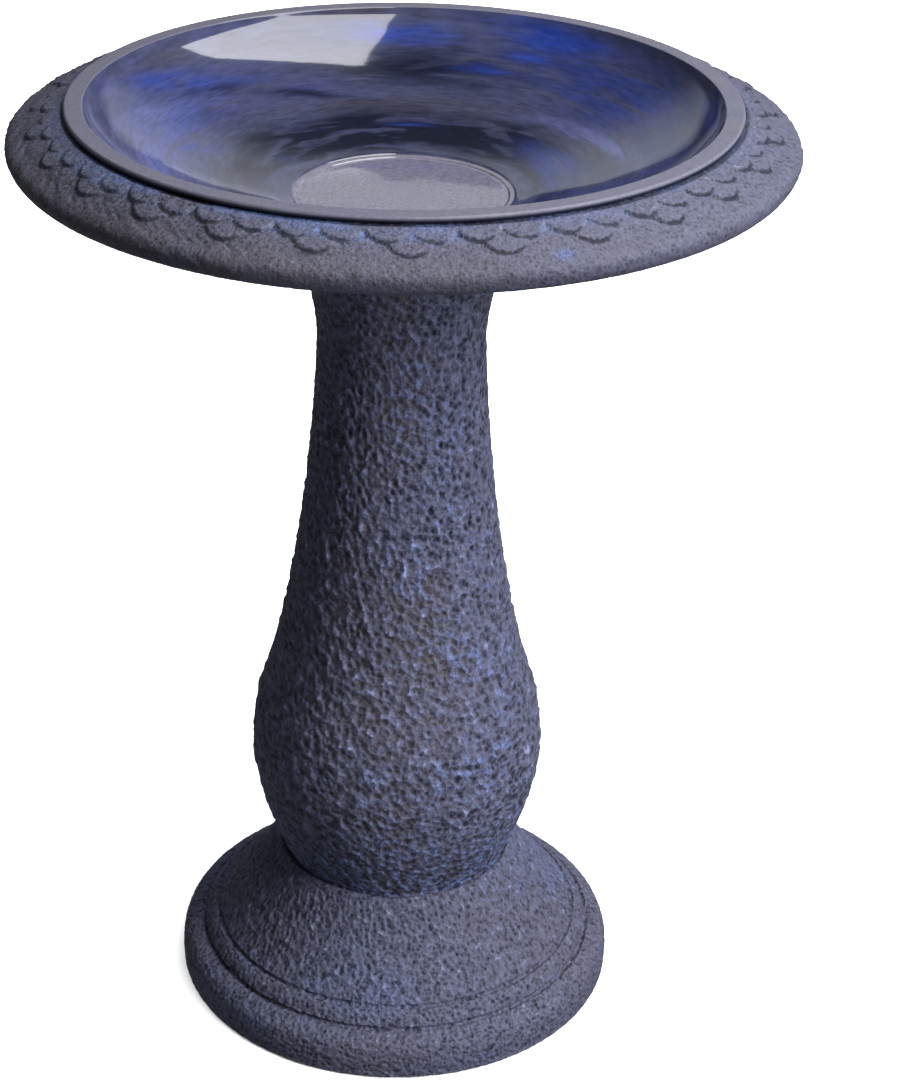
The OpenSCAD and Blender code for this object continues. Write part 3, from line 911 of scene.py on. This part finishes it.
def base_finish(turn, run, radius, height, facing):
    """Leathery radial dents on the cone, and fine pebbles on the bead and the ring."""
    sizes = bpy.context.scene.bird_bath_sizes
    outside = ease(SEAT_RADIUS, SEAT_RADIUS + 0.003, radius) * ease(-0.1, 0.2, facing.max(axis=1))[:, None]
    outside = outside * ease(0.0, 0.004, height)
    bend = clouds(turn, run, 40, 0.02, 111) - 0.5
    cone = ease(0.136, 0.131, radius)
    leather = dents(turn + 0.008 * bend, run, 180, 0.0065, 0.35, 113)
    around = int(round(math.tau * 0.16 / sizes.pebble_size))
    pebbles = 1 - dents(turn + 0.004 * bend, run, around, sizes.pebble_size * 0.85, 0.2, 127)
    chips = clouds(turn, run, 380, 0.002, 149, 2)
    swell = clouds(turn, run, 30, 0.02, 131)
    carved = cone * leather + (1 - cone) * pebbles
    deepest = cone * 0.0016 + (1 - cone) * sizes.pebble_depth
    depth = deepest * carved + 0.0004 * swell + 0.0003 * chips - 0.0006
    patches = clouds(turn, run, 14, 0.03, 137)
    right = hill(40, 60, from_front(turn))
    blue = (1 - carved) * ease(0.45, 0.7, patches) * (0.15 + 0.4 * (1 - right))
    earthy = 0.7 * carved * ease(0.4, 0.65, clouds(turn, run, 10, 0.05, 139)) * (0.4 + 0.6 * right)
    worn = 0.8 - 0.6 * carved
    return depth * outside, [worn, np.clip(blue, 0, 1), earthy, np.zeros((1, 1))]


def islands(node):
    """The box of each separate solid in a CAD node."""
    mesh = bmesh.new()
    mesh.from_mesh(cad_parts[node].data)
    bmesh.ops.remove_doubles(mesh, verts=mesh.verts, dist=1e-6)
    waiting = set(mesh.verts)
    boxes = []
    while waiting:
        reached = [waiting.pop()]
        for vert in reached:
            linked = {e.other_vert(vert) for e in vert.link_edges} & waiting
            waiting -= linked
            reached.extend(linked)
        places = np.array([v.co for v in reached])
        boxes.append((Vector(places.min(axis=0)), Vector(places.max(axis=0))))
    mesh.free()
    return boxes


def plain_finish(turn, run, radius, height, facing):
    """No carving."""
    return np.zeros((1, 1)), [np.zeros((1, 1))] * 4


def joined(name, parts):
    """One object from several."""
    whole = bmesh.new()
    for part in parts:
        part.data.transform(part.matrix_world)
        whole.from_mesh(part.data)
        bpy.data.objects.remove(part)
    mesh = bpy.data.meshes.new(name)
    whole.to_mesh(mesh)
    whole.free()
    mesh.shade_smooth()
    made = bpy.data.objects.new(name, mesh)
    bpy.context.scene.collection.objects.link(made)
    return made


class BIRDBATH_OT_glazed_dish(bpy.types.Operator):
    """Turns the glazed dish with its bare lip"""

    bl_idname = "birdbath.glazed_dish"
    bl_label = "Glazed dish"

    def execute(self, context):
        colours = context.scene.bird_bath_colours
        sizes = context.scene.bird_bath_sizes

        def pace(radius, height):
            on_lip = radius > DISH_RADIUS - 0.001
            return np.where(on_lip, 0.0007, np.where(height > DISH_LOW + 0.001, 0.0022, 0.006))

        line, loop = softened(outline("basin", 90), pace, sizes.edge_round / 2, 0.00001)
        dish = turned("glazed_dish", line, loop, 360, dish_finish)
        dish.data.materials.append(glazed_resin(colours))
        dish.data.materials.append(bare_resin(colours, sizes.grain_size))
        for face in dish.data.polygons:
            glazed = face.normal.z > 0.1 and math.hypot(*face.center[:2]) < DISH_RADIUS - 0.0003
            face.material_index = 0 if glazed else 1
        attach(dish, "bowl")
        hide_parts("basin")
        return {"FINISHED"}


class BIRDBATH_OT_scaled_rim(bpy.types.Operator):
    """Turns the bowl's stone-effect shell and carves its two rows of scales"""

    bl_idname = "birdbath.scaled_rim"
    bl_label = "Scaled rim"

    def execute(self, context):
        sizes = context.scene.bird_bath_sizes

        def pace(radius, height):
            scaled = (radius > 0.221) & (radius < 0.252) & (height > LIP_TOP - 0.021)
            on_roll = (radius > 0.222) & (height > LIP_TOP - 0.0365)
            return np.where(scaled, 0.0012, np.where(on_roll, 0.0025, 0.03))

        line, loop = softened(outline("bowl_shell", CLEAR_OF_BOWL_BOSSES), pace, sizes.edge_round, 0.00005)
        rim = turned("scaled_rim", line, loop, 972, rim_finish)
        finish = stone_resin(
            "cast_stone_rim", context.scene.bird_bath_colours,
            grain=sizes.grain_size, grit=0.0012, pit=0.003, pit_depth=0.0004, light=0.85, contrast=0.25,
        )
        rim.data.materials.append(finish)
        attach(rim, "bowl")
        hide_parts("bowl_shell")
        return {"FINISHED"}


class BIRDBATH_OT_hammered_pedestal(bpy.types.Operator):
    """Turns the pedestal and hammers its outside"""

    bl_idname = "birdbath.hammered_pedestal"
    bl_label = "Hammered pedestal"

    def execute(self, context):
        sizes = context.scene.bird_bath_sizes
        points = outline("pedestal", 90)

        def pace(radius, height):
            outside = radius > np.interp(height, *wall_middle(points))
            return np.where(outside, 0.0019, 0.04)

        line, loop = softened(points, pace, sizes.edge_round, 0.00003)
        pedestal = turned("hammered_pedestal", line, loop, 372, pedestal_finish)
        finish = stone_resin(
            "hammered_stone_resin", context.scene.bird_bath_colours,
            grain=sizes.grain_size, grit=0.0013, pit=0.005, pit_depth=0.0028, light=1.15, contrast=0.5,
        )
        pedestal.data.materials.append(finish)
        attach(pedestal, "pedestal")
        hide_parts("pedestal")
        return {"FINISHED"}


def wall_middle(points):
    """Heights, and the radius half way through the wall at each."""
    heights = np.linspace(points[:, 1].min(), points[:, 1].max(), 60)
    middles = []
    for height in heights:
        near = points[abs(points[:, 1] - height) < 0.012, 0]
        middles.append((near.min() + near.max()) / 2 if len(near) else 0.0)
    return heights, np.array(middles)


class BIRDBATH_OT_pebbled_base(bpy.types.Operator):
    """Turns the base's shell with its leathery cone and pebbled ring"""

    bl_idname = "birdbath.pebbled_base"
    bl_label = "Pebbled base"

    def execute(self, context):
        sizes = context.scene.bird_bath_sizes

        def pace(radius, height):
            outer = np.interp(height, [0.0, 0.03, 0.045, 0.1], [0.1605, 0.1565, 0.132, SEAT_RADIUS])
            outside = (radius > outer - 0.0015) & (radius > SEAT_RADIUS - 0.0015)
            return np.where(outside, 0.0013, 0.03)

        line, loop = softened(outline("base_shell", CLEAR_OF_BOSSES), pace, sizes.edge_round, 0.00004)
        base = turned("pebbled_base", line, loop, 600, base_finish)
        finish = stone_resin(
            "pebbled_stone_resin", context.scene.bird_bath_colours,
            grain=sizes.grain_size, grit=0.0014, pit=0.0035, pit_depth=0.0014, light=1.05, contrast=0.45,
        )
        base.data.materials.append(finish)
        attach(base, "base")
        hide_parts("base_shell")
        return {"FINISHED"}


class BIRDBATH_OT_screws(bpy.types.Operator):
    """Makes the pan-head screws with their cross recesses"""

    bl_idname = "birdbath.screws"
    bl_label = "Screws"

    def execute(self, context):
        steel = plated_steel(context.scene.bird_bath_colours)
        for node, body in (("plate_screws", "base"), ("socket_screws", "bowl")):
            screws = joined("cross_head_" + node, [screw(low, high) for low, high in islands(node)])
            screws.data.materials.append(steel)
            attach(screws, body)
            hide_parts(node)
        return {"FINISHED"}


def screw(low, high):
    """One screw, its head down, in the box of its CAD solid."""
    head = (high.x - low.x) / 2
    shank = head * 4 / 7.4
    core = shank * 0.78
    head_thick = 0.0022
    pitch = 0.0014
    recess_deep = 0.0011
    tall = high.z - low.z
    line = [(head * share, 0) for share in (0, 0.08, 0.16, 0.24, 0.32, 0.4, 0.5)]
    line += [(head * 0.8, 0.0003), (head * 0.96, 0.0009), (head, head_thick), (shank, head_thick)]
    for thread in range(int((tall - head_thick - 0.002) / pitch)):
        line.append((core, head_thick + pitch * (thread + 0.5)))
        line.append((shank, head_thick + pitch * (thread + 1)))
    line += [(core, tall - 0.0015), (0, tall)]
    made = turned("screw", np.array(line), False, 48, plain_finish)
    for vert in made.data.vertices:
        arm, breadth = max(abs(vert.co.x), abs(vert.co.y)), min(abs(vert.co.x), abs(vert.co.y))
        if vert.co.z < 0.0009 and arm < head * 0.6 and breadth < head * 0.17:
            vert.co.z = recess_deep
    made.location = ((low.x + high.x) / 2, (low.y + high.y) / 2, low.z)
    bpy.context.view_layer.update()
    return made


class BIRDBATH_OT_foot_pads(bpy.types.Operator):
    """Makes the rubber foot pads with a ring groove in each sole"""

    bl_idname = "birdbath.foot_pads"
    bl_label = "Foot pads"

    def execute(self, context):
        colours = context.scene.bird_bath_colours
        parts = []
        for low, high in islands("foot_pads"):
            wide = (high.x - low.x) / 2
            tall = high.z - low.z
            line = [
                (0, 0.0006), (wide * 0.3, 0.0006), (wide * 0.36, 0), (wide * 0.62, 0), (wide * 0.66, 0.0006),
                (wide * 0.72, 0.0006), (wide * 0.76, 0), (wide - 0.0006, 0), (wide - 0.0002, 0.0002),
                (wide, 0.0006), (wide, tall - 0.0003), (wide - 0.0003, tall), (0, tall),
            ]
            pad = turned("pad", np.array(line), False, 48, plain_finish)
            pad.location = ((low.x + high.x) / 2, (low.y + high.y) / 2, low.z)
            context.view_layer.update()
            parts.append(pad)
        pads = joined("grooved_foot_pads", parts)
        rubber = moulded_polymer(
            "moulded_rubber", colours.rubber, grain=0.0012, sheen_low=0.75, sheen_high=0.9, relief=0.0002
        )
        pads.data.materials.append(rubber)
        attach(pads, "base")
        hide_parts("foot_pads")
        return {"FINISHED"}


class BIRDBATH_OT_fittings(bpy.types.Operator):
    """Finishes the moulded fittings that keep their own shape"""

    bl_idname = "birdbath.fittings"
    bl_label = "Moulded fittings"

    def execute(self, context):
        colours = context.scene.bird_bath_colours
        polymer = moulded_polymer(
            "moulded_polypropylene", colours.moulding, grain=0.0012,
            sheen_low=0.38, sheen_high=0.55, relief=0.0002,
        )
        rubber = moulded_polymer(
            "seal_rubber", colours.rubber, grain=0.0012, sheen_low=0.7, sheen_high=0.85, relief=0.0002
        )
        finishes = {
            "bowl_socket": polymer,
            "neck_spigot": polymer,
            "foot_ring": polymer,
            "base_plate": polymer,
            "filler_plug": polymer,
            "plug_seal": rubber,
        }
        for node, material in finishes.items():
            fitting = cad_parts[node]
            fitting.data.materials.clear()
            fitting.data.materials.append(material)
            weld = fitting.modifiers.new("weld", "WELD")
            weld.merge_threshold = 0.000002
            soft = fitting.modifiers.new("soft_edges", "BEVEL")
            soft.width = 0.0004
            soft.segments = 2
            soft.limit_method = "ANGLE"
            soft.angle_limit = math.radians(35)
            soft.harden_normals = True
        return {"FINISHED"}


class BIRDBATH_OT_studio(bpy.types.Operator):
    """Sets the pale floor, the soft lights and the camera"""

    bl_idname = "birdbath.studio"
    bl_label = "Studio"

    def execute(self, context):
        scene = context.scene
        studio = scene.bird_bath_studio
        low, high = CAD_BOX
        self.hang_softbox(high.z, studio)
        side = self.hang_light(
            "side_softbox", place=(1.7, -1.3, 1.5), aim=(-1.7, 1.3, -1.15),
            size=(0.8, 1.3), watts=studio.side_power,
        )
        back = self.hang_light(
            "back_softbox", place=(0.6, 3.0, 1.1), aim=(-0.6, -3.0, -0.7),
            size=(1.6, 1.6), watts=studio.back_power,
        )
        # Only the overhead softbox mirrors in the glaze.
        side.visible_glossy = False
        back.visible_glossy = False
        wash = self.hang_light(
            "floor_softbox", place=(0, 0, 6.0), aim=(0, 0, -1), size=(24, 24), watts=studio.floor_power
        )
        wash.light_linking.receiver_collection = self.lay_floor(scene, studio, low.z)
        self.paint_room(scene, studio)
        self.aim_camera(scene, studio, low.z)
        scene.view_settings.view_transform = "Standard"
        return {"FINISHED"}

    def hang_softbox(self, top, studio):
        """The overhead softbox, to the right and in front: its left edge mirrors in the back of the dish."""
        tall = studio.softbox_height
        place = (0.74 * tall, -0.33 * tall, top + tall)
        self.hang_light(
            "softbox", place=place, aim=(0, 0, -1),
            size=(1.32 * tall, 1.56 * tall), watts=studio.softbox_power,
        )

    def hang_light(self, name, place, aim, size, watts):
        """A soft rectangular light that the camera doesn't see."""
        light = bpy.data.lights.new(name, "AREA")
        light.shape = "RECTANGLE"
        light.size, light.size_y = size
        light.energy = watts
        lamp = bpy.data.objects.new(name, light)
        lamp.location = place
        lamp.rotation_mode = "QUATERNION"
        lamp.rotation_quaternion = Vector(aim).to_track_quat("-Z", "Y")
        lamp.visible_camera = False
        bpy.context.scene.collection.objects.link(lamp)
        return lamp

    def lay_floor(self, scene, studio, level):
        """A wide pale floor with a faint even grain; returns a collection that holds only the floor."""
        mesh = bpy.data.meshes.new("studio_floor")
        half = 30.0
        corners = [(-half, -half, level), (half, -half, level), (half, half, level), (-half, half, level)]
        mesh.from_pydata(corners, [], [(0, 1, 2, 3)])
        floor = bpy.data.objects.new("studio_floor", mesh)
        scene.collection.objects.link(floor)
        # The floor shows pale but throws no light back, as a floor far below the object would.
        floor.visible_diffuse = False
        floor.visible_glossy = False
        material, tree, output = new_material("pale_floor_paper")
        place = add_node(tree, "TexCoord").outputs["Object"]
        fibre = add_node(tree, "TexNoise", inputs={"Vector": place, "Scale": 1 / 0.004, "Detail": 2.0})
        shade = add_node(
            tree, "MapRange",
            inputs={"Value": fibre.outputs["Fac"], **NOISE_SPAN, "To Min": 0.99, "To Max": 1.01},
        )
        paper = add_node(tree, "VectorMath", SCALED, {0: tuple(studio.floor_tone), "Scale": shade.outputs[0]})
        shader = add_node(tree, "BsdfPrincipled", inputs={"Base Color": paper.outputs[0], "Roughness": 0.9})
        tree.links.new(shader.outputs["BSDF"], output.inputs["Surface"])
        mesh.materials.append(material)
        lit = bpy.data.collections.new("studio_floor_lit")
        lit.objects.link(floor)
        return lit

    def paint_room(self, scene, studio):
        """A dim room whose backdrop, behind the object, is bright near the floor and fades upward."""
        world = bpy.data.worlds.new("studio_room")
        world.use_nodes = True
        tree = world.node_tree
        tree.nodes.clear()
        way = add_node(
            tree, "SeparateXYZ", inputs={"Vector": add_node(tree, "TexCoord").outputs["Generated"]},
        )
        not_high = add_node(
            tree, "MapRange", EASED,
            {"Value": way.outputs["Z"], "From Min": 0.7, "From Max": 0.45},
        )
        not_low = add_node(
            tree, "MapRange", inputs={"Value": way.outputs["Z"], "From Min": 0.14, "From Max": 0.24},
        )
        behind = add_node(
            tree, "MapRange", EASED,
            {"Value": way.outputs["Y"], "From Min": 0.6, "From Max": 0.88},
        )
        sheet = add_node(tree, "Math", PRODUCT, {0: not_high.outputs[0], 1: behind.outputs[0]})
        backdrop = add_node(tree, "Math", PRODUCT, {0: sheet.outputs[0], 1: not_low.outputs[0]})
        even = add_node(
            tree, "MapRange",
            inputs={
                "Value": way.outputs["Z"], "From Min": -0.02, "From Max": 0.02,
                "To Min": studio.bounce, "To Max": studio.fill,
            },
        )
        bright = add_node(
            tree, "Math", PRODUCT_AND_SUM,
            {0: backdrop.outputs[0], 1: studio.backdrop, 2: even.outputs[0]},
        )
        light = add_node(
            tree, "Background", inputs={"Color": (0.86, 0.9, 1.0, 1), "Strength": bright.outputs[0]},
        )
        output = add_node(tree, "OutputWorld")
        tree.links.new(light.outputs[0], output.inputs["Surface"])
        scene.world = world

    def aim_camera(self, scene, studio, level):
        """A long lens in front of the pedestal, looking down into the dish."""
        camera = bpy.data.cameras.new("camera")
        camera.sensor_width = 36
        camera.lens = studio.lens
        camera.shift_x = 0.0519
        camera.clip_start = 0.01
        camera.clip_end = 100
        holder = bpy.data.objects.new("camera", camera)
        place = Matrix.Translation(
            (studio.camera_side, -studio.camera_distance, level + studio.camera_height),
        )
        tilt = Matrix.Rotation(math.pi / 2 - studio.camera_pitch, 4, "X")
        roll = Matrix.Rotation(studio.camera_roll, 4, "Z")
        holder.matrix_world = place @ tilt @ roll
        scene.collection.objects.link(holder)
        scene.camera = holder


PIECES = (
    BIRDBATH_OT_glazed_dish,
    BIRDBATH_OT_scaled_rim,
    BIRDBATH_OT_hammered_pedestal,
    BIRDBATH_OT_pebbled_base,
    BIRDBATH_OT_screws,
    BIRDBATH_OT_foot_pads,
    BIRDBATH_OT_fittings,
    BIRDBATH_OT_studio,
)


class BIRDBATH_PT_panel(bpy.types.Panel):
    """Lists the bird bath's pieces, sizes and colours"""

    bl_idname = "BIRDBATH_PT_panel"
    bl_label = "Bird bath"
    bl_space_type = "VIEW_3D"
    bl_region_type = "UI"
    bl_category = "Bird bath"

    def draw(self, context):
        for piece in PIECES:
            self.layout.operator(piece.bl_idname)
        for group in ("bird_bath_sizes", "bird_bath_colours", "bird_bath_studio"):
            column = self.layout.column()
            settings = getattr(context.scene, group)
            for name in settings.__annotations__:
                column.prop(settings, name)


CLASSES = (BirdBathSizes, BirdBathColours, BirdBathStudio, *PIECES, BIRDBATH_PT_panel)


def register():
    for made in CLASSES:
        bpy.utils.register_class(made)
    bpy.types.Scene.bird_bath_sizes = PointerProperty(type=BirdBathSizes)
    bpy.types.Scene.bird_bath_colours = PointerProperty(type=BirdBathColours)
    bpy.types.Scene.bird_bath_studio = PointerProperty(type=BirdBathStudio)


def unregister():
    del bpy.types.Scene.bird_bath_studio
    del bpy.types.Scene.bird_bath_colours
    del bpy.types.Scene.bird_bath_sizes
    for made in reversed(CLASSES):
        bpy.utils.unregister_class(made)


def main():
    """Builds every piece and the studio."""
    register()
    for piece in PIECES:
        group, name = piece.bl_idname.split(".")
        getattr(getattr(bpy.ops, group), name)()


if __name__ == "__main__":
    main()
